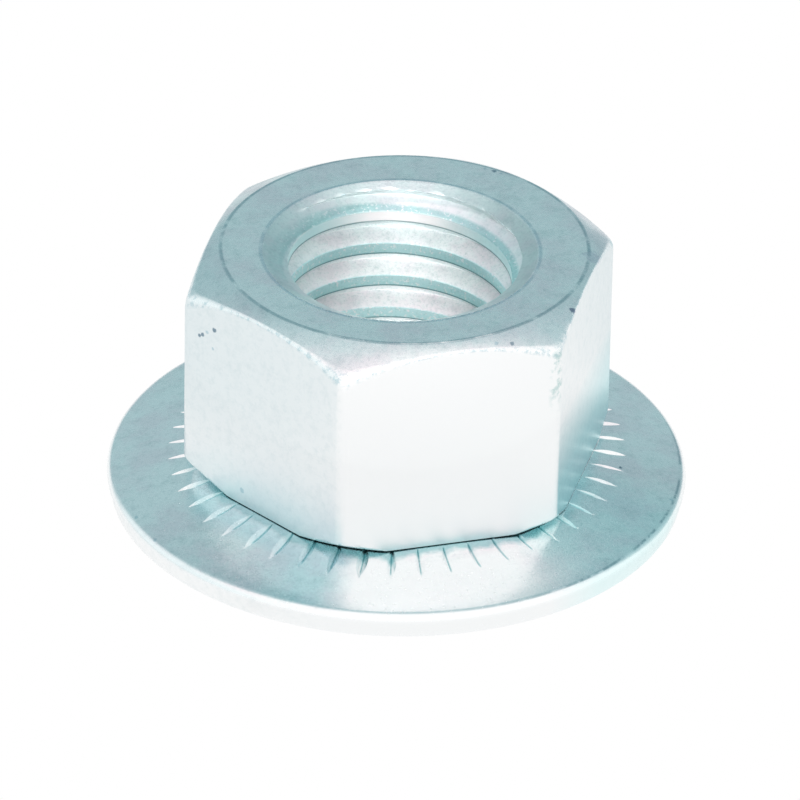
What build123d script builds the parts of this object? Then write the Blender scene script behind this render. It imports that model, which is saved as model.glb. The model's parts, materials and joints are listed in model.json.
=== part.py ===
from build123d import *
import math
import os

# Hex nut with a captive, radially serrated conical washer.
# Millimetres, +Z up. The origin is the centre of the washer's resting circle.
# One flat of the hexagon faces -Y. The thread axis is the Z axis.

# ---- nut ----
across_flats = 18.0
nut_height = 10.6
corner_round = 0.65
top_chamfer_angle = 30.0
top_chamfer_radius = 8.6
top_chamfer_shift = (0.24, 0.13)
bottom_chamfer_angle = 45.0
bottom_chamfer_radius = 9.35
bottom_chamfer_shift = (0.17, -0.15)
thread_minor_diameter = 10.44
countersink_diameter = 12.9
countersink_angle = 120.0

# ---- washer ----
washer_diameter = 27.2
sheet = 1.2
skirt_angle = 13.5
seat_radius = 8.7
bend_radius = 8.5
rim_round = 0.5
rim_break = 0.1

# ---- serrations pressed into the washer ----
serration_count = 48
serration_phase = 5.9
serration_depth = 0.17
serration_v_angle = 104.0
serration_outer_radius = 11.1
serration_inner_radius = 9.2

# ---- collar that holds the washer on the nut ----
collar_diameter = 13.9
turning_clearance = 0.1
seat_gap = 0.03
lip_gap = 0.1
lip_flare = 0.6
lip_height = 0.55

# ---- derived sizes ----
skirt_slope = math.tan(math.radians(skirt_angle))
skirt_sin = math.sin(math.radians(skirt_angle))
skirt_cos = math.cos(math.radians(skirt_angle))
rim_corner_radius = washer_diameter / 2 + rim_round * (skirt_cos + skirt_sin - 1)
rim_top_z = sheet * skirt_cos
rim_foot_radius = rim_corner_radius - sheet * skirt_sin
bend_end_radius = seat_radius + bend_radius * skirt_sin
bend_end_z = rim_top_z + (rim_corner_radius - bend_end_radius) * skirt_slope
seat_z = bend_end_z + bend_radius * (1 - skirt_cos)
nut_base_z = seat_z + seat_gap
nut_top_z = nut_base_z + nut_height
bore_radius = thread_minor_diameter / 2
countersink_radius = countersink_diameter / 2
countersink_depth = (countersink_radius - bore_radius) / math.tan(math.radians(countersink_angle / 2))
collar_radius = collar_diameter / 2
washer_bore_radius = collar_radius + turning_clearance
lip_top_z = seat_z - sheet - lip_gap
lip_bottom_z = lip_top_z - lip_height
lip_radius = washer_bore_radius + lip_flare


def hexagon_blank():
    """Hexagonal bar with softened upright corners."""
    outline = RegularPolygon(across_flats / 2, 6, major_radius=False)
    bar = extrude(outline, nut_height)
    bar = fillet(bar.edges().filter_by(Axis.Z), corner_round)
    return Pos(0, 0, nut_base_z) * bar


def chamfer_envelope(face_radius, angle, narrow_end_up, centre):
    """Cone that trims the hexagon's corners at one end of the nut."""
    spread = nut_height / math.tan(math.radians(angle))
    low = face_radius + spread if narrow_end_up else face_radius
    high = face_radius if narrow_end_up else face_radius + spread
    cone = Cone(low, high, nut_height, align=(Align.CENTER, Align.CENTER, Align.MIN))
    return Pos(centre[0], centre[1], nut_base_z) * cone


def collar_and_lip():
    """Short tube below the nut, spread outward under the washer."""
    profile = Polyline(
        (0, nut_base_z + 0.5),
        (collar_radius, nut_base_z + 0.5),
        (collar_radius, lip_top_z),
        (lip_radius, lip_top_z - 0.15),
        (lip_radius, lip_bottom_z + 0.15),
        (collar_radius + 0.15, lip_bottom_z),
        (0, lip_bottom_z),
        close=True,
    )
    return revolve(Plane.XZ * make_face(profile), Axis.Z)


def bore_core():
    """The hole through the nut with a countersink at each end."""
    beyond = 1.0
    profile = Polyline(
        (0, lip_bottom_z - beyond),
        (countersink_radius, lip_bottom_z - beyond),
        (countersink_radius, lip_bottom_z),
        (bore_radius, lip_bottom_z + countersink_depth),
        (bore_radius, nut_top_z - countersink_depth),
        (countersink_radius, nut_top_z),
        (countersink_radius, nut_top_z + beyond),
        (0, nut_top_z + beyond),
        close=True,
    )
    return revolve(Plane.XZ * make_face(profile), Axis.Z)


def hex_nut():
    body = hexagon_blank()
    body = body & chamfer_envelope(top_chamfer_radius, top_chamfer_angle, True, top_chamfer_shift)
    body = body & chamfer_envelope(bottom_chamfer_radius, bottom_chamfer_angle, False, bottom_chamfer_shift)
    return body + collar_and_lip() - bore_core()


def bend(radius, start_z):
    """Arc of the section where the flat seat curves down into the skirt."""
    half = math.radians(skirt_angle / 2)
    middle = (seat_radius + radius * math.sin(half), start_z - radius * (1 - math.cos(half)))
    end = (seat_radius + radius * skirt_sin, start_z - radius * (1 - skirt_cos))
    return ThreePointArc((seat_radius, start_z), middle, end)


def washer_blank():
    """Flat seat in the middle, then a long bend and a conical skirt down to the rim."""
    underside_z = seat_z - sheet
    upper_bend = bend(bend_radius, seat_z)
    lower_bend = bend(bend_radius - sheet, underside_z)
    rim = [upper_bend @ 1, (rim_corner_radius, rim_top_z), (rim_foot_radius, 0), lower_bend @ 1]
    bore = [(seat_radius, underside_z), (washer_bore_radius, underside_z), (washer_bore_radius, seat_z)]
    outline = Polyline(*bore, (seat_radius, seat_z)) + upper_bend + Polyline(*rim) + lower_bend
    section = make_face(outline)
    rim_top = section.vertices().sort_by_distance((rim_corner_radius, rim_top_z, 0))[0]
    section = fillet(rim_top, rim_round)
    rim_foot = section.vertices().sort_by_distance((rim_foot_radius, 0, 0))[0]
    section = chamfer(rim_foot, rim_break)
    return revolve(Plane.XZ * section, Axis.Z)


def serration_punch():
    """Punch on the bend's normal: its V-edged keel rises both ways to sink a leaf-shaped groove."""
    middle = (serration_inner_radius + serration_outer_radius) / 2
    half_length = (serration_outer_radius - serration_inner_radius) / 2
    lean = math.asin((middle - seat_radius) / bend_radius)
    surface_z = seat_z - bend_radius * (1 - math.cos(lean))
    keel_rise = serration_depth - half_length**2 / (2 * bend_radius)
    overrun = 1.1
    top = 1.5 * serration_depth
    deep = v_section(0, 0, top)
    shallow = v_section(overrun * half_length, overrun * keel_rise, top)
    half_punch = loft([deep, shallow], ruled=True)
    punch = half_punch + mirror(half_punch, Plane.YZ)
    return Pos(middle, 0, surface_z) * Rot(0, math.degrees(lean), 0) * Pos(0, 0, -serration_depth) * punch


def v_section(x, root, top):
    """Triangle across the keel at one place along it, from the keel's root up to the punch's top."""
    half_width = (top - root) * math.tan(math.radians(serration_v_angle / 2))
    return make_face(Polyline((x, 0, root), (x, half_width, top), (x, -half_width, top), close=True))


def serrated_washer():
    pitch = 360 / serration_count
    punch = serration_punch()
    turns = [Rot(0, 0, -90 + serration_phase + pitch * i) for i in range(serration_count)]
    return washer_blank() - [turn * punch for turn in turns]


def main():
    os.makedirs("parts", exist_ok=True)
    export_step(hex_nut(), "parts/hex_nut.step")
    export_step(serrated_washer(), "parts/serrated_washer.step")


main()
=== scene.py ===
import json
import math

import bmesh
import bpy
import numpy as np
from mathutils import Matrix, Vector

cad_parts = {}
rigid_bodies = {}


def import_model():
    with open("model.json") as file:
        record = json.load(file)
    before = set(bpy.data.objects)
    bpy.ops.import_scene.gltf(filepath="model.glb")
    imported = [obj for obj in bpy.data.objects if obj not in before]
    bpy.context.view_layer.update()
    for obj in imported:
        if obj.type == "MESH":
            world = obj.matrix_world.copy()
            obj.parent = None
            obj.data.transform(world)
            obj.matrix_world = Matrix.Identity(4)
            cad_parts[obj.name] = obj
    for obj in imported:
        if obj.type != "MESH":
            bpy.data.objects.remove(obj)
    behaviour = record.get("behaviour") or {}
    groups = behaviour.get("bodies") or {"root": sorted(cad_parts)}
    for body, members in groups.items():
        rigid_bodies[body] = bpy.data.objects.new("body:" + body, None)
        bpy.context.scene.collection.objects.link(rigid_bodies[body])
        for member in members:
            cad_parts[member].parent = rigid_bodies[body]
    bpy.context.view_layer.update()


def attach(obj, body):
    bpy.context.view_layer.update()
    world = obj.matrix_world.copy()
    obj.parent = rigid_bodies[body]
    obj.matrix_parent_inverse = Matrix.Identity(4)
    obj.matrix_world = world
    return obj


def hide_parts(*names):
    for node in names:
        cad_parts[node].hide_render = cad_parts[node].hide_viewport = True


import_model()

MM = 0.001

# ---------------------------------------------------------------- sizes of the nut, millimetres
FLATS = 18.0
CORNER_ROUND = 0.65
NUT_BASE = 2.1564
NUT_TOP = 12.7564
CHAMFER_SLOPE = math.tan(math.radians(30))
TOP_CHAMFER_RADIUS = 8.6
TOP_CHAMFER_SHIFT = (0.24, 0.13)
BOTTOM_CHAMFER_RADIUS = 9.35
BOTTOM_CHAMFER_SLOPE = math.tan(math.radians(34))
BOTTOM_CHAMFER_SHIFT = (0.17, -0.15)
TOP_EDGE_ROUND = 0.3
SHOULDER_ROUND = 0.14
SHOULDER_ROUND_TO_CORNERS = 0.25
HEEL_ROUND = 0.4
COUNTERSINK_RADIUS = 6.45
COUNTERSINK_SLOPE = 1 / math.tan(math.radians(60))
COLLAR_RADIUS = 6.95
LIP_TOP = 0.8264
LIP_BOTTOM = 0.2764
LIP_RADIUS = 7.65
LIP_BEVEL = 0.15
LIP_ROUND = 0.05

PITCH = 1.75
CREST_RADIUS = 5.22
THREAD_DEPTH = 0.82
CREST_SHARE = 10 / 32
ROOT_SHARE = 4 / 32
CREST_HEIGHT_AT_X_AXIS = 11.12

# ---------------------------------------------------------------- sizes of the washer, millimetres
WASHER_RADIUS = 13.6
SKIRT_ANGLE = math.radians(13.5)
SHEET = 1.2
SEAT_RADIUS = 8.7
BEND_RADIUS = 8.5
RIM_ROUND = 0.5
RIM_FOOT_ROUND = 0.12
WASHER_BORE_RADIUS = 7.05
SERRATIONS = 48
FIRST_SERRATION = math.radians(5.9) - math.pi / 2
SERRATION_DEPTH = 0.17
SERRATION_HALF_V = math.radians(52)
SERRATION_INNER = 9.12
SERRATION_OUTER = 11.28

# ---------------------------------------------------------------- how finely the meshes are divided
NUT_COLUMNS = 240
STRAIGHT_SHARE_OF_SIDE = 0.7
THREAD_ROWS_PER_PITCH = 32
COLUMNS_PER_SERRATION = 20
SEAT_ROWS = [WASHER_BORE_RADIUS, 7.9, SEAT_RADIUS, 8.85]
GROOVE_ROWS = np.linspace(SERRATION_INNER - 0.15, SERRATION_OUTER + 0.25, 40)
SKIRT_ROWS = [11.8, 12.15, 12.5]
UNDER_BEND_STEPS = 8

# ---------------------------------------------------------------- camera, angles, millimetres and pixels
CAMERA_TURN = math.radians(-15.7)
CAMERA_RISE = math.radians(31.876)
CAMERA_ROLL = math.radians(1.102)
CAMERA_DISTANCE = 500.0
LENS_PIXELS = 10622.687
AXIS_FOOT = (396.066, 483.259)
PICTURE_PIXELS = 800
SENSOR_WIDTH = 36


# ---------------------------------------------------------------- outlines
def rounded_line(points, radii, steps=4):
    """A chain of (r, z) points whose inner corners are rounded, with a fixed number of points."""
    out = [points[0]]
    for before, corner, after, radius in zip(points, points[1:], points[2:], radii):
        to_before, to_after = np.subtract(before, corner), np.subtract(after, corner)
        length_before, length_after = np.hypot(*to_before), np.hypot(*to_after)
        if radius <= 0 or min(length_before, length_after) < 1e-6:
            out.extend([corner] * (steps + 1 if radius > 0 else 1))
            continue
        to_before, to_after = to_before / length_before, to_after / length_after
        half = math.acos(np.clip(to_before @ to_after, -1, 1)) / 2
        if half > math.pi / 2 - 1e-3:
            out.extend([corner] * (steps + 1))
            continue
        reach = min(radius / math.tan(half), 0.45 * length_before, 0.45 * length_after)
        radius = reach * math.tan(half)
        middle = to_before + to_after
        centre = np.asarray(corner) + middle / np.hypot(*middle) * radius / math.sin(half)
        first, last = corner + to_before * reach - centre, corner + to_after * reach - centre
        angle_a = math.atan2(first[1], first[0])
        turn = (math.atan2(last[1], last[0]) - angle_a + math.pi) % (2 * math.pi) - math.pi
        for i in range(steps + 1):
            a = angle_a + turn * i / steps
            out.append((centre[0] + radius * math.cos(a), centre[1] + radius * math.sin(a)))
    out.append(points[-1])
    return [tuple(float(v) for v in p) for p in out]


def hexagon_radius(angle):
    """Distance from the axis to the hexagon's side in that direction, softened corners included."""
    apothem = FLATS / 2
    from_flat = (angle + math.pi / 2 + math.pi / 6) % (math.pi / 3) - math.pi / 6
    corner_centre = (apothem - CORNER_ROUND) / math.cos(math.pi / 6)
    tangent = math.atan2((apothem - CORNER_ROUND) * math.tan(math.pi / 6), apothem)
    if abs(from_flat) <= tangent:
        return apothem / math.cos(from_flat)
    off = math.pi / 6 - abs(from_flat)
    return corner_centre * math.cos(off) + math.sqrt(CORNER_ROUND**2 - (corner_centre * math.sin(off)) ** 2)


def side_angles():
    """Column directions round the hexagon, closer together round the corners."""
    per_side = NUT_COLUMNS // 6
    angles = []
    tangent = math.atan2((FLATS / 2 - CORNER_ROUND) * math.tan(math.pi / 6), FLATS / 2)
    for column in range(NUT_COLUMNS):
        side, step = divmod(column, per_side)
        s = 2 * step / per_side - 1
        past_straight = abs(s) - STRAIGHT_SHARE_OF_SIDE
        if past_straight <= 0:
            off = s / STRAIGHT_SHARE_OF_SIDE * tangent
        else:
            round_share = past_straight / (1 - STRAIGHT_SHARE_OF_SIDE)
            off = math.copysign(tangent + round_share * (math.pi / 6 - tangent), s)
        angles.append(side * math.pi / 3 + math.pi / 6 + off)
    return angles


def off_centre_circle(angle, radius, shift):
    """Distance from the axis, in one direction, to a circle whose centre is a little off it."""
    along = shift[0] * math.cos(angle) + shift[1] * math.sin(angle)
    across = shift[1] * math.cos(angle) - shift[0] * math.sin(angle)
    return along + math.sqrt(radius**2 - across**2)


def nut_outline(angle):
    """The nut's outside in one direction, from the bore's upper rim round to its lower rim."""
    side = hexagon_radius(angle)
    corner = (side * math.cos(angle), side * math.sin(angle))
    top_circle = off_centre_circle(angle, TOP_CHAMFER_RADIUS, TOP_CHAMFER_SHIFT)
    base_circle = off_centre_circle(angle, BOTTOM_CHAMFER_RADIUS, BOTTOM_CHAMFER_SHIFT)
    past_top = math.dist(corner, TOP_CHAMFER_SHIFT) - TOP_CHAMFER_RADIUS
    past_base = math.dist(corner, BOTTOM_CHAMFER_SHIFT) - BOTTOM_CHAMFER_RADIUS
    shoulder = NUT_TOP - past_top * CHAMFER_SLOPE
    heel = NUT_BASE + max(past_base, 0.02) * BOTTOM_CHAMFER_SLOPE
    points = [
        (COUNTERSINK_RADIUS, NUT_TOP),
        (top_circle, NUT_TOP),
        (side, shoulder),
        (side, heel),
        (min(base_circle, side - 0.02), NUT_BASE),
        (COLLAR_RADIUS, NUT_BASE),
        (COLLAR_RADIUS, LIP_TOP),
        (LIP_RADIUS, LIP_TOP - LIP_BEVEL),
        (LIP_RADIUS, LIP_BOTTOM + LIP_BEVEL),
        (COLLAR_RADIUS + LIP_BEVEL, LIP_BOTTOM),
        (COUNTERSINK_RADIUS, LIP_BOTTOM),
    ]
    shoulder_round = SHOULDER_ROUND + SHOULDER_ROUND_TO_CORNERS * past_top**2
    radii = [TOP_EDGE_ROUND, shoulder_round, HEEL_ROUND, LIP_ROUND, 0, 0, LIP_ROUND, LIP_ROUND, LIP_ROUND]
    return rounded_line(points, radii)


def nut_shell():
    """Everything of the nut but its threaded bore, as an open shell between the bore's two rims."""
    outer = side_angles()
    columns = [nut_outline(a) for a in outer]
    even = [2 * math.pi * (i + 0.5) / NUT_COLUMNS for i in range(NUT_COLUMNS)]
    rows = len(columns[0])
    verts = []
    for column in range(NUT_COLUMNS):
        for row, (r, z) in enumerate(columns[column]):
            a = even[column] if row in (0, rows - 1) else outer[column]
            verts.append((r * math.cos(a) * MM, r * math.sin(a) * MM, z * MM))
    faces = []
    for column in range(NUT_COLUMNS):
        here, there = column * rows, (column + 1) % NUT_COLUMNS * rows
        faces += [(here + i, here + i + 1, there + i + 1, there + i) for i in range(rows - 1)]
    mesh = bpy.data.meshes.new("nut_shell")
    mesh.from_pydata(verts, [], faces)
    return mesh


def upper_face_height(radius, seat):
    """Height of the washer's upper face: a flat seat, a long bend, then the straight skirt."""
    bend_end = BEND_RADIUS * math.sin(SKIRT_ANGLE)
    past_seat = max(0.0, radius - SEAT_RADIUS)
    if past_seat <= bend_end:
        return seat - BEND_RADIUS + math.sqrt(BEND_RADIUS**2 - past_seat**2)
    bend_drop = BEND_RADIUS * (1 - math.cos(SKIRT_ANGLE))
    return seat - bend_drop - (past_seat - bend_end) * math.tan(SKIRT_ANGLE)


def washer_section():
    """The washer's closed section as (r, z) points; the first stretch is its upper face."""
    sin, cos = math.sin(SKIRT_ANGLE), math.cos(SKIRT_ANGLE)
    corner = WASHER_RADIUS + RIM_ROUND * (cos + sin - 1)
    rim_top = SHEET * cos
    foot = corner - SHEET * sin
    seat = rim_top - upper_face_height(corner, 0.0)
    under = seat - SHEET
    inner_bend = BEND_RADIUS - SHEET
    upper = [(r, upper_face_height(r, seat)) for r in [*SEAT_ROWS, *GROOVE_ROWS, *SKIRT_ROWS]]
    rim = [upper[-1], (corner, rim_top), (foot, 0), (SEAT_RADIUS, under)]
    rim = rounded_line(rim, [RIM_ROUND, RIM_FOOT_ROUND], 6)
    lower = []
    for i in range(UNDER_BEND_STEPS + 1):
        a = SKIRT_ANGLE * (1 - i / UNDER_BEND_STEPS)
        lower.append((SEAT_RADIUS + inner_bend * math.sin(a), under - inner_bend * (1 - math.cos(a))))
    return upper + rim[1:-1] + lower + [(WASHER_BORE_RADIUS, under)], len(upper)


# ---------------------------------------------------------------- node trees, written as formulas
class Graph:
    """A node tree whose inputs take either a fixed value or another node's output."""

    def __init__(self, tree):
        self.tree = tree

    def feed(self, socket, value):
        if isinstance(value, bpy.types.NodeSocket):
            self.tree.links.new(value, socket)
        else:
            socket.default_value = value

    def node(self, kind, links=None, **settings):
        made = self.tree.nodes.new(kind)
        for key, value in settings.items():
            setattr(made, key, value)
        for key, value in (links or {}).items():
            self.feed(made.inputs[key], value)
        return made

    def math(self, operation, *values):
        return self.node("ShaderNodeMath", dict(enumerate(values)), operation=operation).outputs[0]

    def times(self, *values):
        out = values[0]
        for value in values[1:]:
            out = self.math("MULTIPLY", out, value)
        return out

    def split(self, vector):
        return self.node("ShaderNodeSeparateXYZ", {0: vector}).outputs

    def dot(self, vector, direction):
        links = {0: vector, 1: direction}
        return self.node("ShaderNodeVectorMath", links, operation="DOT_PRODUCT").outputs["Value"]

    def spread(self, value, low, high, to_low=0.0, to_high=1.0, kind="LINEAR"):
        """Maps low..high to 0..1, or to other ends, and stays at an end beyond it."""
        links = {"Value": value, "From Min": low, "From Max": high, "To Min": to_low, "To Max": to_high}
        return self.node("ShaderNodeMapRange", links, interpolation_type=kind).outputs["Result"]

    def without(self, amount):
        """One where the amount is nothing, and nothing where it is one."""
        return self.spread(amount, 0, 1, 1, 0)

    def mixed(self, colour, amount, other, kind="MIX"):
        """The colour, turned into the other or multiplied by it as far as the amount says."""
        links = {0: amount, 6: colour, 7: (*other, 1)}
        return self.node("ShaderNodeMix", links, data_type="RGBA", blend_type=kind).outputs[2]


class Rule(Graph):
    """A Geometry Nodes tree with its named inputs."""

    def __init__(self, name, inputs):
        super().__init__(bpy.data.node_groups.new(name, "GeometryNodeTree"))
        self.tree.interface.new_socket("Geometry", in_out="INPUT", socket_type="NodeSocketGeometry")
        self.ids = {}
        for title, value in inputs.items():
            kind = "NodeSocketInt" if isinstance(value, int) else "NodeSocketFloat"
            if isinstance(value, bpy.types.Material):
                kind = "NodeSocketMaterial"
            socket = self.tree.interface.new_socket(title, in_out="INPUT", socket_type=kind)
            self.ids[title] = socket.identifier
        self.tree.interface.new_socket("Geometry", in_out="OUTPUT", socket_type="NodeSocketGeometry")
        self.inputs = self.tree.nodes.new("NodeGroupInput")
        self.values = inputs

    def __getitem__(self, title):
        return self.inputs.outputs[title]

    def add(self, a, b):
        return self.math("ADD", a, b)

    def sub(self, a, b):
        return self.math("SUBTRACT", a, b)

    def mul(self, a, b):
        return self.math("MULTIPLY", a, b)

    def div(self, a, b):
        return self.math("DIVIDE", a, b)

    def low(self, a, b):
        return self.math("MINIMUM", a, b)

    def high(self, a, b):
        return self.math("MAXIMUM", a, b)

    def grid(self, columns, rows):
        """A grid's geometry with each point's column and row."""
        made = self.node("GeometryNodeMeshGrid", {"Vertices X": columns, "Vertices Y": rows})
        index = self.node("GeometryNodeInputIndex").outputs[0]
        column = self.math("FLOOR", self.div(self.add(index, 0.5), rows))
        row = self.sub(index, self.mul(column, rows))
        return made.outputs["Mesh"], column, row

    def place(self, geometry, angle, radius, height):
        """Moves the grid's points to an angle round the axis, a radius and a height."""
        x = self.mul(radius, self.math("COSINE", angle))
        y = self.mul(radius, self.math("SINE", angle))
        where = self.node("ShaderNodeCombineXYZ", {"X": x, "Y": y, "Z": height}).outputs[0]
        moved = self.node("GeometryNodeSetPosition", {"Geometry": geometry, "Position": where})
        return moved.outputs[0]

    def finish(self, geometry, tolerance=2e-6):
        """Welds what touches, then ends in Realize Instances and Set Material."""
        welded = self.node("GeometryNodeMergeByDistance", {"Geometry": geometry, "Distance": tolerance}).outputs[0]
        real = self.node("GeometryNodeRealizeInstances", {"Geometry": welded}).outputs[0]
        coated = self.node("GeometryNodeSetMaterial", {"Geometry": real, "Material": self["Material"]}).outputs[0]
        self.node("NodeGroupOutput", {0: coated})

    def bake(self, mesh, name):
        """Runs the tree on a mesh and returns the result as a plain object."""
        source = bpy.data.objects.new(name + "_source", mesh)
        bpy.context.scene.collection.objects.link(source)
        modifier = source.modifiers.new("rule", "NODES")
        modifier.node_group = self.tree
        for title, value in self.values.items():
            modifier[self.ids[title]] = value
        evaluated = source.evaluated_get(bpy.context.evaluated_depsgraph_get())
        result = bpy.data.meshes.new_from_object(evaluated)
        source.modifiers.remove(modifier)
        bpy.data.objects.remove(source)
        result.name = name
        made = bpy.data.objects.new(name, result)
        bpy.context.scene.collection.objects.link(made)
        return made


def thread_rule(material):
    """Lays the helical thread as the wall of the bore and welds it to the shell."""
    turns = math.ceil((NUT_TOP - LIP_BOTTOM) / PITCH) + 2
    turns_below = math.ceil((CREST_HEIGHT_AT_X_AXIS - LIP_BOTTOM) / PITCH + 1)
    start = CREST_HEIGHT_AT_X_AXIS - PITCH * turns_below
    rule = Rule("helical thread", {
        "Pitch": PITCH * MM,
        "Crest radius": CREST_RADIUS * MM,
        "Thread depth": THREAD_DEPTH * MM,
        "Crest share": CREST_SHARE,
        "Root share": ROOT_SHARE,
        "First crest height": start * MM,
        "Upper rim height": NUT_TOP * MM,
        "Lower rim height": LIP_BOTTOM * MM,
        "Countersink radius": COUNTERSINK_RADIUS * MM,
        "Countersink slope": COUNTERSINK_SLOPE,
        "Columns per turn": NUT_COLUMNS,
        "Turns": turns,
        "Rows per pitch": THREAD_ROWS_PER_PITCH,
        "Material": material,
    })
    around = rule.add(rule.mul(rule["Columns per turn"], rule["Turns"]), 1.0)
    across = rule.add(rule["Rows per pitch"], 1.0)
    grid, column, row = rule.grid(around, across)
    turn = rule.div(rule.add(column, 0.5), rule["Columns per turn"])
    phase = rule.sub(rule.div(row, rule["Rows per pitch"]), 0.5)
    height = rule.add(rule["First crest height"], rule.mul(rule["Pitch"], rule.add(turn, phase)))
    half_crest = rule.mul(rule["Crest share"], 0.5)
    flank = rule.sub(rule.sub(0.5, half_crest), rule.mul(rule["Root share"], 0.5))
    rise = rule.div(rule.sub(rule.math("ABSOLUTE", phase), half_crest), flank)
    rise = rule.low(rule.high(rise, 0.0), 1.0)
    wall = rule.add(rule["Crest radius"], rule.mul(rise, rule["Thread depth"]))
    above = rule.sub(rule["Upper rim height"], height)
    below = rule.sub(height, rule["Lower rim height"])
    for depth in (above, below):
        narrowing = rule.div(rule.high(depth, 0.0), rule["Countersink slope"])
        cone = rule.sub(rule["Countersink radius"], narrowing)
        wall = rule.high(wall, cone)
    height = rule.low(rule.high(height, rule["Lower rim height"]), rule["Upper rim height"])
    bore = rule.place(grid, rule.mul(turn, 2 * math.pi), wall, height)
    both = rule.node("GeometryNodeJoinGeometry")
    rule.tree.links.new(bore, both.inputs[0])
    rule.tree.links.new(rule["Geometry"], both.inputs[0])
    rule.finish(both.outputs[0])
    return rule


def washer_rule(material, points, upper_points):
    """Turns the washer's section round the axis and sinks a leaf-shaped V groove at each serration."""
    rule = Rule("serrated washer", {
        "Serrations": SERRATIONS,
        "Columns per serration": COLUMNS_PER_SERRATION,
        "First serration": FIRST_SERRATION,
        "Section points": points,
        "Upper face points": upper_points,
        "Groove inner radius": SERRATION_INNER * MM,
        "Groove outer radius": SERRATION_OUTER * MM,
        "Groove depth": SERRATION_DEPTH * MM,
        "Deepest direction": CAMERA_TURN - math.pi / 2 - math.radians(20),
        "Depth swing": 0.5,
        "Length swing": 0.55 * MM,
        "Groove side slope": math.tan(SERRATION_HALF_V),
        "Depth variation": 0.15,
        "Seed": 7,
        "Material": material,
    })
    around = rule.add(rule.mul(rule["Serrations"], rule["Columns per serration"]), 1.0)
    across = rule.add(rule["Section points"], 1.0)
    grid, column, row = rule.grid(around, across)
    index = rule.math("MODULO", row, rule["Section points"])
    position = rule.node("GeometryNodeInputPosition").outputs[0]
    from_section = {"Geometry": rule["Geometry"], "Index": index}
    sample = rule.node("GeometryNodeSampleIndex", from_section, data_type="FLOAT_VECTOR")
    rule.feed(sample.inputs["Value"], position)
    section = rule.split(sample.outputs[0])
    radius, height = section["X"], section["Z"]

    number = rule.math("FLOOR", rule.div(rule.add(column, 0.5), rule["Columns per serration"]))
    number_wrapped = rule.math("MODULO", number, rule["Serrations"])
    column_in_serration = rule.sub(column, rule.mul(number, rule["Columns per serration"]))
    step = rule.div(column_in_serration, rule["Columns per serration"])
    across_tooth = rule.sub(rule.mul(step, 2.0), 1.0)
    off_centre = rule.math("ABSOLUTE", across_tooth)

    draw = {"Seed": rule["Seed"], "ID": number_wrapped}
    chance = rule.node("FunctionNodeRandomValue", draw, data_type="FLOAT")
    numbers = {socket.name: socket for socket in chance.inputs if socket.type == "VALUE"}
    rule.feed(numbers["Min"], -1.0)
    rule.feed(numbers["Max"], 1.0)
    luck = [socket for socket in chance.outputs if socket.type == "VALUE"][0]
    pitch = rule.div(2 * math.pi, rule["Serrations"])
    place = rule.add(rule["First serration"], rule.mul(number_wrapped, pitch))
    sideways = rule.math("SINE", rule.sub(place, rule["Deepest direction"]))
    sideways = rule.mul(sideways, sideways)
    strength = rule.add(1.1, rule.mul(luck, rule["Depth variation"]))
    strength = rule.sub(strength, rule.mul(sideways, rule["Depth swing"]))

    on_top = rule.math("LESS_THAN", row, rule.sub(rule["Upper face points"], 0.5))
    tip = rule.sub(rule["Groove outer radius"], rule.mul(sideways, rule["Length swing"]))
    half_length = rule.mul(rule.sub(tip, rule["Groove inner radius"]), 0.5)
    middle = rule.add(rule["Groove inner radius"], half_length)
    along = rule.div(rule.sub(radius, middle), half_length)
    leaf = rule.high(rule.sub(1.0, rule.mul(along, along)), 0.0)
    deep = rule.mul(rule.mul(rule["Groove depth"], strength), rule.mul(leaf, on_top))
    half_width = rule.div(rule.mul(deep, rule["Groove side slope"]), radius)
    half_width = rule.high(half_width, rule.mul(pitch, 0.02))
    inside = rule.low(rule.mul(off_centre, 2.0), 1.0)
    outside = rule.high(rule.sub(rule.mul(off_centre, 2.0), 1.0), 0.0)
    room = rule.sub(rule.mul(pitch, 0.5), half_width)
    offset = rule.add(rule.mul(inside, half_width), rule.mul(outside, room))
    offset = rule.mul(offset, rule.math("SIGN", across_tooth))
    angle = rule.add(rule["First serration"], rule.add(rule.mul(number, pitch), offset))
    height = rule.sub(height, rule.mul(deep, rule.sub(1.0, inside)))
    rule.finish(rule.place(grid, angle, radius, height))
    return rule


# ---------------------------------------------------------------- materials
DARK, DIM = (0.30, 0.38, 0.45), (0.70, 0.80, 0.84)
NUT_MARKS = {
    "left flat, long nick's low end": ((-9.86, -0.92, 10.05), 0.13, DARK),
    "left flat, long nick's middle": ((-9.75, -1.11, 10.22), 0.12, DARK),
    "left flat, long nick's high end": ((-9.60, -1.37, 10.45), 0.10, DIM),
    "left flat, nick by the chamfer": ((-9.37, -1.77, 10.78), 0.14, DARK),
    "left flat, speck below the nicks": ((-9.40, -1.72, 9.73), 0.09, DIM),
    "left flat, speck near the foot": ((-8.40, -3.45, 2.95), 0.14, DIM),
    "right chamfer, dark spot": ((6.43, -6.61, 12.43), 0.19, (0.33, 0.36, 0.46)),
    "right chamfer, stain": ((8.55, -2.55, 12.69), 0.60, (0.85, 0.84, 0.89)),
    "front chamfer, nick in the edge": ((2.95, -8.72, 12.40), 0.13, (0.45, 0.52, 0.58)),
    "front chamfer, speck": ((2.21, -8.70, 12.50), 0.12, DIM),
    "top face, nick at the far edge": ((6.18, 6.02, 12.76), 0.14, DARK),
    "top face, left end of that nick": ((5.85, 6.30, 12.76), 0.12, DIM),
    "top face, right end of that nick": ((6.45, 5.70, 12.76), 0.10, DIM),
}
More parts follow.
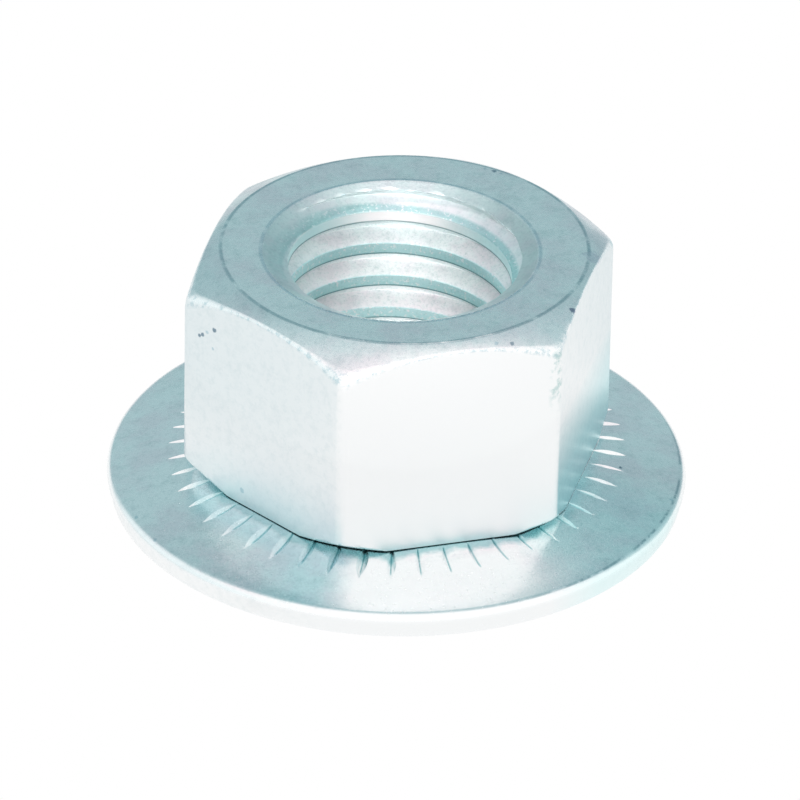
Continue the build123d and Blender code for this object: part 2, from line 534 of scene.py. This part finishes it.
WASHER_MARKS = {
    "right side, nick between the serrations": ((9.76, -4.10, 1.92), 0.10, DARK),
    "left rim, upper speck": ((-13.11, -1.99, 1.27), 0.12, DIM),
    "left rim, lower speck": ((-12.76, -4.09, 1.24), 0.14, DIM),
    "right rim, speck": ((11.60, -6.40, 1.30), 0.14, DIM),
}

# A tint multiplies the metal's colour.
BARE_ZINC = (0.955, 0.972, 0.975, 1)
TINT = {
    "clouds": (0.98, 0.90, 0.93),
    "stains": (0.86, 0.90, 0.90),
    "grains": (0.88, 0.90, 0.91),
    "scuffs": (0.92, 0.94, 0.945),
    # Tints from here to the first flank are painted light and shade in the threaded bore, where the plating is the
    # same all over: darker, bluer crests, countersink and thread entry, a painted shadow under each crest,
    # slightly cooler flanks and a darker first flank.
    "first crest, sides": (0.60, 0.80, 0.81),
    "crests": (0.66, 0.90, 0.91),
    "crests, lower half": (0.78, 0.88, 0.88),
    "countersink": (0.74, 0.84, 0.84),
    "countersink, right": (0.88, 0.88, 0.88),
    "thread entry": (0.55, 0.77, 0.77),
    "burr": (0.30, 0.42, 0.44),
    "flanks": (0.93, 0.98, 0.98),
    "first flank": (0.90, 0.93, 0.93),
    "grit": (0.84, 0.90, 0.89),
    # Painted shade on the nut: the chamfer darker on the left and far left.
    "left chamfer": (0.86, 0.89, 0.90),
    "far left chamfer": (0.86, 0.91, 0.91),
    # Painted shade: the right flat darker and bluer towards its foot.
    "right flat's foot": (0.65, 0.89, 0.91),
    "turned line": (0.54, 0.64, 0.67),
    "bore's edge": (0.70, 0.78, 0.82),
    "arris": (0.70, 0.80, 0.83),
    "front right corner": (0.62, 0.76, 0.75),
    # The next four tints are painted shade on the washer: a ring by the nut, the left side, the front right and
    # the groove roots.
    "rubbed": (0.46, 0.70, 0.72),
    "dull side": (0.69, 0.88, 0.905),
    "front right": (0.86, 1.0, 1.0),
    "groove root": (0.50, 0.70, 0.72),
    "rim line": (0.50, 0.60, 0.63),
}


class Coat(Graph):
    """A material of bright zinc plating; places and lengths in it are in millimetres."""

    def __init__(self, name, seed, roughness):
        self.material = bpy.data.materials.new(name)
        self.material.use_nodes = True
        super().__init__(self.material.node_tree)
        self.shader = self.tree.nodes["Principled BSDF"]
        where = self.node("ShaderNodeTexCoord").outputs
        shift = (seed * 0.013, seed * 0.007, seed * 0.021)
        self.elsewhere = self.node("ShaderNodeMapping", {"Vector": where["Object"], "Location": shift}).outputs[0]
        links = {0: where["Object"], "Scale": 1 / MM}
        self.here = self.node("ShaderNodeVectorMath", links, operation="SCALE").outputs[0]
        self.reach = self.distance_from((0.0, 0.0))
        self.across = self.along(CAMERA_TURN)
        self.height = self.split(self.here)["Z"]
        self.facing = self.split(where["Normal"])
        self.colour = BARE_ZINC
        self.stain()
        self.shader.inputs["Metallic"].default_value = 1.0
        upright = self.spread(self.math("ABSOLUTE", self.facing["Z"]), 0.1, 0.4, 0.12, 0)
        polish = self.spread(self.noise(5000), 0.3, 0.7, roughness - 0.04, roughness + 0.05)
        self.rough = self.math("ADD", polish, upright)

    def noise(self, scale, detail=4.0, rough=0.6):
        links = {"Vector": self.elsewhere, "Scale": scale, "Detail": detail, "Roughness": rough}
        return self.node("ShaderNodeTexNoise", links).outputs["Fac"]

    def tint(self, name, *amounts):
        """Tints the colour where all the amounts are high."""
        self.colour = self.mixed(self.colour, self.times(*amounts), TINT[name], "MULTIPLY")

    def mark(self, marks):
        """Adds small nicks and specks, each a place, a radius and a tint."""
        for centre, radius, tint in marks.values():
            self.colour = self.mixed(self.colour, self.spot(centre, radius), tint, "MULTIPLY")

    def distance_from(self, centre):
        """Distance from an upright line through the centre."""
        parts = self.split(self.here)
        x, y = self.math("SUBTRACT", parts["X"], centre[0]), self.math("SUBTRACT", parts["Y"], centre[1])
        return self.math("SQRT", self.math("ADD", self.times(x, x), self.times(y, y)))

    def along(self, heading):
        """How far a point lies from the axis in one level heading."""
        return self.dot(self.here, (math.cos(heading), math.sin(heading), 0))

    def heading(self):
        """Degrees round the axis, counted from the camera's side towards its right."""
        turn = self.math("ARCTAN2", self.across, self.along(CAMERA_TURN - math.pi / 2))
        return self.math("DEGREES", turn)

    def spot(self, centre, radius):
        """One inside a small ragged spot, falling to nothing outside."""
        links = {0: self.here, 1: centre}
        off = self.node("ShaderNodeVectorMath", links, operation="DISTANCE").outputs["Value"]
        ragged = self.math("ADD", off, self.spread(self.noise(4000), 0.3, 0.7, -0.4 * radius, 0.4 * radius))
        return self.spread(ragged, 0.6 * radius, radius, 1, 0)

    def near(self, value, middle, half_width):
        """One on a thin line round a value, falling to nothing at half a width from it."""
        off = self.math("ABSOLUTE", self.math("SUBTRACT", value, middle))
        return self.spread(off, 0.35 * half_width, half_width, 1, 0)

    def between(self, value, low, high, soft):
        rise = self.spread(value, low - soft, low + soft)
        return self.times(rise, self.spread(value, high - soft, high + soft, 1, 0))

    def stain(self):
        """Stains what faces up in soft patches and scuffs the sides; the stains are mostly left off the washer's
        front, where its mirrored highlight falls, as painted highlight.
        """
        facing_up = self.spread(self.facing["Z"], 0.55, 0.85)
        highlight_kept_clean = self.times(self.between(self.heading(), -12, 34, 4), self.spread(self.reach, 9.9, 10.3))
        facing_up = self.times(facing_up, self.spread(highlight_kept_clean, 0, 1, 1, 0.15))
        self.tint("clouds", self.spread(self.noise(420, 5, 0.65), 0.42, 0.62), facing_up)
        self.tint("stains", self.spread(self.noise(1500, 5, 0.7), 0.5, 0.68), facing_up)
        self.tint("grains", self.spread(self.noise(7000, 3, 0.6), 0.5, 0.7), facing_up)
        sideways = self.spread(self.math("ABSOLUTE", self.facing["X"]), 0.4, 0.7)
        self.tint("scuffs", self.spread(self.noise(2200, 6, 0.75), 0.46, 0.66), sideways)

    def finish(self, bump_strength):
        """Feeds the shader and gives the finished material."""
        links = {"Height": self.noise(9000), "Distance": 0.01 * MM, "Strength": bump_strength}
        self.feed(self.shader.inputs["Normal"], self.node("ShaderNodeBump", links).outputs[0])
        self.feed(self.shader.inputs["Base Color"], self.colour)
        self.feed(self.shader.inputs["Roughness"], self.rough)
        return self.material


def pitches_above_first_crest(coat):
    """How many pitches a point lies above the thread's first crest, followed round the helix."""
    from_back = coat.math("ARCTAN2", coat.along(CAMERA_TURN + math.pi), coat.along(CAMERA_TURN + math.pi / 2))
    turn = coat.math("DIVIDE", from_back, 2 * math.pi)
    wound = coat.math("SUBTRACT", coat.math("DIVIDE", coat.height, PITCH), turn)
    crest_at_back = CREST_HEIGHT_AT_X_AXIS / PITCH + (CAMERA_TURN + math.pi / 2) / (2 * math.pi)
    return coat.math("SUBTRACT", wound, crest_at_back)


def paint_shade_in_bore(coat):
    """Paints shade on the crests, the countersink, the thread's entry and the first flank, with painted glints,
    leaves the flanks bright and roughens the bore; gives one inside the bore.
    """
    in_bore = coat.spread(coat.reach, COUNTERSINK_RADIUS - 0.1, COUNTERSINK_RADIUS, 1, 0)
    below_cone = coat.spread(coat.height, NUT_TOP - 0.8, NUT_TOP - 0.72, 1, 0)
    off_crest = coat.spread(coat.reach, CREST_RADIUS + 0.02, CREST_RADIUS + 0.06)
    on_flank = coat.times(in_bore, below_cone, off_crest)
    on_crest = coat.times(in_bore, below_cone, coat.without(off_crest))
    on_cone = coat.times(in_bore, coat.without(below_cone))
    wound = pitches_above_first_crest(coat)
    wound_once = coat.math("FRACT", coat.math("ADD", wound, 0.5))
    crest_low, crest_high = 0.5 - CREST_SHARE / 2, 0.5 + CREST_SHARE / 2
    # Noise specks where the painted shade on the crests is left off: painted glints.
    no_glint = coat.spread(coat.spread(coat.noise(6500, 2, 0.5), 0.57, 0.66), 0, 1, 1, 0.15)
    beside = coat.spread(coat.math("ABSOLUTE", coat.across), 1.5, 4.0)
    upper_turn = coat.spread(wound, -0.4, -0.34)
    lower_turns = coat.without(upper_turn)

    # Painted shade: the crests, the countersink, the thread entry and the first flank darker and bluer, and a
    # slight cool tint on the flanks.
    first_crest = coat.times(on_crest, upper_turn)
    coat.tint("first crest, sides", first_crest, beside)
    coat.tint("crests", on_crest, lower_turns, no_glint)
    coat.tint("crests, lower half", on_crest, lower_turns, coat.spread(wound_once, crest_low, crest_high, 1, 0))
    coat.tint("countersink", on_cone)
    entry_top = coat.math("SUBTRACT", wound, coat.spread(coat.across, 0, -5, 0, 0.10))
    entry = coat.times(coat.spread(wound, 0.125, 0.175), coat.spread(entry_top, 0.235, 0.285, 1, 0))
    entry_height = coat.spread(coat.height, NUT_TOP - 0.75, NUT_TOP - 0.4, 1, 0.25)
    coat.tint("thread entry", in_bore, entry, no_glint, entry_height)
    # Painted shadow: a dark line along each crest's lower edge, where the root below lies in shade.
    coat.tint("burr", in_bore, below_cone, coat.near(wound_once, crest_low, 0.05))
    coat.tint("flanks", on_flank)
    coat.tint("first flank", on_flank, coat.between(wound, -0.84, -0.15, 0.03), coat.without(beside))
    coat.tint("grit", in_bore, coat.spread(coat.noise(8000, 3, 0.7), 0.52, 0.66), lower_turns)
    coat.tint("countersink, right", on_cone, coat.spread(coat.across, 2.5, 5.0))

    in_bore_rough = coat.node("ShaderNodeMix", {0: in_bore, 2: coat.rough, 3: 0.45}, data_type="FLOAT").outputs[0]
    coat.rough = coat.math("ADD", in_bore_rough, coat.spread(first_crest, 0, 1, 0, 0.11))
    return in_bore


def nut_plating():
    """The nut's plating, rougher inside the threaded bore, with painted shade that makes the bore's crests and
    countersink darker and bluer.
    """
    coat = Coat("zinc plating on the nut", 1, 0.26)
    in_bore = paint_shade_in_bore(coat)

    # Painted shade: the top chamfer is tinted darker on the left and far left.
    on_chamfer = coat.between(coat.facing["Z"], 0.8, 0.93, 0.03)
    coat.tint("left chamfer", on_chamfer, coat.spread(coat.across, -4, -7))
    coat.tint("far left chamfer", coat.spread(coat.along(math.radians(120)), 7.6, 8.6), on_chamfer)
    # Painted shade: the right flat is tinted darker and bluer towards its foot, by the washer.
    coat.tint("right flat's foot", coat.spread(coat.facing["X"], 0.7, 0.85), coat.spread(coat.height, 7.6, 4.2))

    # Broken dark lines round the top chamfer's edge and round the bore's edge.
    patchy = coat.spread(coat.noise(900, 4, 0.7), 0.3, 0.5)
    on_top = coat.spread(coat.height, NUT_TOP - 0.2, NUT_TOP - 0.1)
    from_turning_centre = coat.distance_from(TOP_CHAMFER_SHIFT)
    coat.tint("turned line", coat.near(from_turning_centre, TOP_CHAMFER_RADIUS - 0.04, 0.12), patchy, on_top)
    coat.tint("bore's edge", coat.near(coat.reach, COUNTERSINK_RADIUS + 0.06, 0.12), patchy, on_top)
    ragged = coat.spread(coat.noise(2600, 5, 0.75), 0.48, 0.58)
    coat.tint("arris", coat.between(coat.facing["Z"], 0.2, 0.75, 0.1), ragged)
    on_corner = coat.spread(coat.along(math.radians(-60)), 10.12, 10.24)
    ragged = coat.spread(coat.noise(1700, 5, 0.8), 0.47, 0.6)
    coat.tint("front right corner", on_corner, ragged, coat.spread(coat.height, 8.5, 9.8))
    coat.mark(NUT_MARKS)
    return coat.finish(coat.spread(in_bore, 0, 1, 0.25, 0.8))


def washer_plating():
    """The washer's plating, with a painted shade ring by the nut, painted shade on its left side and front right,
    and painted shade in the groove roots.
    """
    coat = Coat("zinc plating on the washer", 2, 0.24)
    heading = coat.heading()

    # Painted shade: a ragged dark ring on the washer round the nut's foot, on the front and the left, where the
    # washer by the nut looks dark.
    from_nut = coat.math("SUBTRACT", coat.distance_from(BOTTOM_CHAMFER_SHIFT), BOTTOM_CHAMFER_RADIUS)
    for flat in (-150, -90, -30):
        past_flat = coat.math("SUBTRACT", coat.along(math.radians(flat)), FLATS / 2)
        from_nut = coat.math("MAXIMUM", from_nut, past_flat)
    ragged = coat.math("ADD", from_nut, coat.spread(coat.noise(900), 0.2, 0.8, -0.3, 0.3))
    rubbed = coat.times(coat.spread(ragged, 0.3, 0.65, 1, 0), coat.between(heading, -75, 52, 8))
    coat.tint("rubbed", rubbed)

    # Painted shade: the washer's left side, where it mirrors the nut's left flat, is tinted darker and bluer.
    by_nut = coat.times(coat.spread(from_nut, 1.3, 2.3, 1, 0), coat.spread(coat.across, -9.9, -9.2))
    painted_shade_left = coat.math("MAXIMUM", by_nut, coat.spread(coat.across, -7.8, -4.6))
    inside_rim = coat.spread(coat.reach, 13.2, 13.4, 1, 0)
    on_left = coat.times(coat.spread(heading, -17, -9, 1, 0), coat.spread(heading, -172, -135))
    coat.tint("dull side", painted_shade_left, inside_rim, on_left, coat.without(rubbed))
    # Painted shade: the washer's front right is tinted bluer-green, with less red.
    coat.tint("front right", coat.between(heading, 38, 75, 6))

    # Painted shade: a thin dark line along the root of each groove, from the nut out to the groove's tip.
    parts = coat.split(coat.here)
    turn = coat.math("ARCTAN2", parts["Y"], parts["X"])
    spacing = 2 * math.pi / SERRATIONS
    count = coat.math("DIVIDE", coat.math("SUBTRACT", turn, FIRST_SERRATION), spacing)
    count = coat.math("FRACT", coat.math("ADD", count, SERRATIONS + 0.5))
    from_root = coat.times(coat.math("SUBTRACT", count, 0.5), coat.reach, spacing)
    tip = coat.spread(coat.math("ABSOLUTE", heading), 30, 80, 10.9, 9.9)
    inside_tip = coat.spread(coat.math("SUBTRACT", tip, coat.reach), 0.0, 0.2)
    coat.tint("groove root", coat.near(from_root, 0.0, 0.053), coat.spread(coat.reach, 9.1, 9.3), inside_tip)

    rim_line = coat.times(coat.near(coat.height, 1.23, 0.045), coat.spread(coat.reach, 13.2, 13.3))
    broken = coat.spread(coat.noise(650, 5, 0.8), 0.46, 0.56)
    coat.tint("rim line", rim_line, broken, coat.near(heading, 65, 55))
    coat.mark(WASHER_MARKS)
    return coat.finish(0.25)


# ---------------------------------------------------------------- the two pieces
def smooth_by_angle(mesh, degrees):
    mesh.polygons.foreach_set("use_smooth", [True] * len(mesh.polygons))
    mesh.set_sharp_from_angle(angle=math.radians(degrees))


def point_outwards(piece):
    """Turns every face outwards and reports whether the mesh is closed."""
    work = bmesh.new()
    work.from_mesh(piece.data)
    bmesh.ops.dissolve_degenerate(work, edges=work.edges, dist=1e-7)
    bmesh.ops.recalc_face_normals(work, faces=work.faces)
    open_edges = sum(1 for e in work.edges if len(e.link_faces) != 2)
    work.to_mesh(piece.data)
    volume = work.calc_volume() / MM**3
    work.free()
    print(piece.name, "faces", len(piece.data.polygons), "open edges", open_edges, "volume mm3", volume)


def make_nut(material):
    piece = thread_rule(material).bake(nut_shell(), "nut")
    point_outwards(piece)
    smooth_by_angle(piece.data, 28)
    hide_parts("hex_nut")
    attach(piece, "nut")


def make_washer(material):
    section, upper_points = washer_section()
    points = [(r * MM, 0, z * MM) for r, z in section]
    line = bpy.data.meshes.new("washer_section")
    line.from_pydata(points, [(i, i + 1) for i in range(len(points) - 1)], [])
    piece = washer_rule(material, len(section), upper_points).bake(line, "washer")
    point_outwards(piece)
    smooth_by_angle(piece.data, 24)
    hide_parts("serrated_washer")
    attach(piece, "washer")


# ---------------------------------------------------------------- floor, light and camera
FLOOR_HALF = 3.0
PAPER = (0.9, 0.9, 0.9, 1)
PAPER_SHADED = (0.82, 0.88, 0.895)
SHADED_FRONT = CAMERA_TURN - math.pi / 2 + math.radians(31)
SHADED_EDGE = (-0.002, 0.004)
SHADED_BEYOND = (0.0155, 0.0185)

# Headings in the room: to the camera's right, away from it, and up.
ROOM_STRENGTH = 1.07
GREY_SIDE = (-0.06, 0.9, 0.39)
GREY_SIDE_SHADES = {
    0.29: (1.0, 1.0, 1.0),
    0.37: (0.54, 0.66, 0.68),
    0.47: (0.48, 0.60, 0.63),
    0.56: (0.41, 0.57, 0.60),
    0.70: (0.305, 0.45, 0.48),
    1.0: (0.305, 0.46, 0.49),
}
PATCHES = {
    "pale wall on the left": ((-0.99, 0.05, 0.08), 50, 20, (0.84, 0.92, 0.935)),
    "grey patch behind on the left": ((-0.42, 0.80, 0.42), 28, 12, (0.370, 0.530, 0.560)),
    "grey patch behind on the right": ((0.19, 0.93, 0.31), 13, 4, (0.370, 0.530, 0.560)),
}
PANEL_SHADE = (0.92, 0.94, 0.94)
PANEL_EDGES = {
    "right": ((1, 0, 0), 0.213, 0.187),
    "left": ((1, 0, 0), -0.09, -0.05),
    "near": ((0, 1, 0), 0.3, 0.4),
    "low": ((0, 0, 1), 0.735, 0.775),
}

LAMP_AWAY = 300.0
LAMP_RISE = math.radians(34.5)
LAMP_BEAM_RADIUS = 6.0
LAMP_AIM_BEYOND_AXIS = 2.5
LAMP_SIZE = 6.0
LAMP_ENERGY = 9.3
LAMP_COLOUR = (1.0, 0.84, 0.83)


def towards_camera(rise):
    """The direction from the object to the camera's side, at a rise above the floor."""
    level = math.cos(rise)
    return Vector((math.sin(CAMERA_TURN) * level, -math.cos(CAMERA_TURN) * level, math.sin(rise)))


def make_camera():
    """A long lens aimed so that the foot of the thread's axis falls on its own place in the picture."""
    back = towards_camera(CAMERA_RISE)
    level_right = Vector((math.cos(CAMERA_TURN), math.sin(CAMERA_TURN), 0))
    level_up = back.cross(level_right)
    right = math.cos(CAMERA_ROLL) * level_right + math.sin(CAMERA_ROLL) * level_up
    up = -math.sin(CAMERA_ROLL) * level_right + math.cos(CAMERA_ROLL) * level_up
    middle = PICTURE_PIXELS / 2
    aim = right * (middle - AXIS_FOOT[0]) / LENS_PIXELS - up * (middle - AXIS_FOOT[1]) / LENS_PIXELS - back
    aim.normalize()
    right = (right - aim * right.dot(aim)).normalized()
    up = right.cross(aim)
    camera = bpy.data.objects.new("camera", bpy.data.cameras.new("camera"))
    bpy.context.scene.collection.objects.link(camera)
    turn = Matrix((right, up, -aim)).transposed().to_4x4()
    camera.matrix_world = Matrix.Translation(back * CAMERA_DISTANCE * MM) @ turn
    camera.data.sensor_width = SENSOR_WIDTH
    camera.data.lens = LENS_PIXELS / PICTURE_PIXELS * SENSOR_WIDTH
    camera.data.clip_start, camera.data.clip_end = 0.01, 10
    bpy.context.scene.camera = camera


def shaded_side(paper, glossy_ray):
    """What the metal mirrors of the paper beyond the piece is shaded on the sides turned from the front."""
    place = paper.node("ShaderNodeTexCoord").outputs["Object"]
    forward = paper.dot(place, (math.cos(SHADED_FRONT), math.sin(SHADED_FRONT), 0))
    away = paper.node("ShaderNodeVectorMath", {0: place}, operation="LENGTH").outputs["Value"]
    behind = paper.spread(forward, *SHADED_EDGE, 1, 0, "SMOOTHSTEP")
    beyond = paper.spread(away, *SHADED_BEYOND, 0, 1, "SMOOTHSTEP")
    return paper.mixed((1, 1, 1, 1), paper.times(behind, beyond, glossy_ray), PAPER_SHADED)


def make_floor():
    """White paper, evenly bright to the eye and in the metal, that lights its surroundings as paper does."""
    mesh = bpy.data.meshes.new("floor")
    corners = [(x * FLOOR_HALF, y * FLOOR_HALF, 0) for x, y in ((-1, -1), (1, -1), (1, 1), (-1, 1))]
    mesh.from_pydata(corners, [], [(0, 1, 2, 3)])
    floor = bpy.data.objects.new("floor", mesh)
    bpy.context.scene.collection.objects.link(floor)
    material = bpy.data.materials.new("white paper")
    material.use_nodes = True
    material.node_tree.nodes.clear()
    paper = Graph(material.node_tree)
    rays = paper.node("ShaderNodeLightPath").outputs
    matt = paper.node("ShaderNodeBsdfDiffuse", {"Color": PAPER}).outputs[0]
    glow = {"Color": shaded_side(paper, rays["Is Glossy Ray"]), "Strength": 1.0}
    glow = paper.node("ShaderNodeEmission", glow).outputs[0]
    seen = paper.math("ADD", rays["Is Camera Ray"], rays["Is Glossy Ray"])
    seen = paper.math("ADD", seen, rays["Is Transmission Ray"])
    shown = paper.node("ShaderNodeMixShader", {0: seen, 1: matt, 2: glow}).outputs[0]
    paper.node("ShaderNodeOutputMaterial", {"Surface": shown})
    mesh.materials.append(material)


def make_world():
    """A bright room with one grey-green side low down behind the object, and a panel high up there."""
    world = bpy.data.worlds.new("studio")
    bpy.context.scene.world = world
    world.use_nodes = True
    room = Graph(world.node_tree)
    direction = room.node("ShaderNodeTexCoord").outputs["Generated"]

    def towards(heading):
        return room.dot(direction, Matrix.Rotation(CAMERA_TURN, 3, "Z") @ Vector(heading).normalized())

    ramp = room.node("ShaderNodeValToRGB", {"Fac": towards(GREY_SIDE)})
    stops = ramp.color_ramp.elements
    while len(stops) < len(GREY_SIDE_SHADES):
        stops.new(0.5)
    for stop, (position, shade) in zip(stops, GREY_SIDE_SHADES.items()):
        stop.position, stop.color = position, (*shade, 1)
    colour = ramp.outputs["Color"]
    for heading, wide, narrow, shade in PATCHES.values():
        wide, narrow = math.cos(math.radians(wide)), math.cos(math.radians(narrow))
        colour = room.mixed(colour, room.spread(towards(heading), wide, narrow, kind="SMOOTHSTEP"), shade)
    panel = [room.spread(towards(axis), dark, bright) for axis, dark, bright in PANEL_EDGES.values()]
    sky = room.tree.nodes["Background"].inputs
    room.feed(sky["Color"], room.mixed(colour, room.times(*panel), PANEL_SHADE))
    sky["Strength"].default_value = ROOM_STRENGTH


def make_bore_lamp():
    """A narrow lamp that shines down into the threaded bore and on nothing beyond its rim."""
    lamp = bpy.data.lights.new("bore lamp", "SPOT")
    lamp.energy = LAMP_ENERGY
    lamp.color = LAMP_COLOUR
    lamp.spot_size = 2 * math.atan(LAMP_BEAM_RADIUS / LAMP_AWAY)
    lamp.spot_blend = 0.12
    lamp.shadow_soft_size = LAMP_SIZE * MM
    made = bpy.data.objects.new("bore lamp", lamp)
    bpy.context.scene.collection.objects.link(made)
    back = towards_camera(LAMP_RISE)
    target = -LAMP_AIM_BEYOND_AXIS * towards_camera(0)
    target.z = NUT_TOP
    made.location = (back * LAMP_AWAY + target) * MM
    made.rotation_euler = back.to_track_quat("Z", "Y").to_euler()


def main():
    make_nut(nut_plating())
    make_washer(washer_plating())
    make_floor()
    make_world()
    make_bore_lamp()
    make_camera()
    bpy.context.scene.view_settings.view_transform = "Standard"


main()
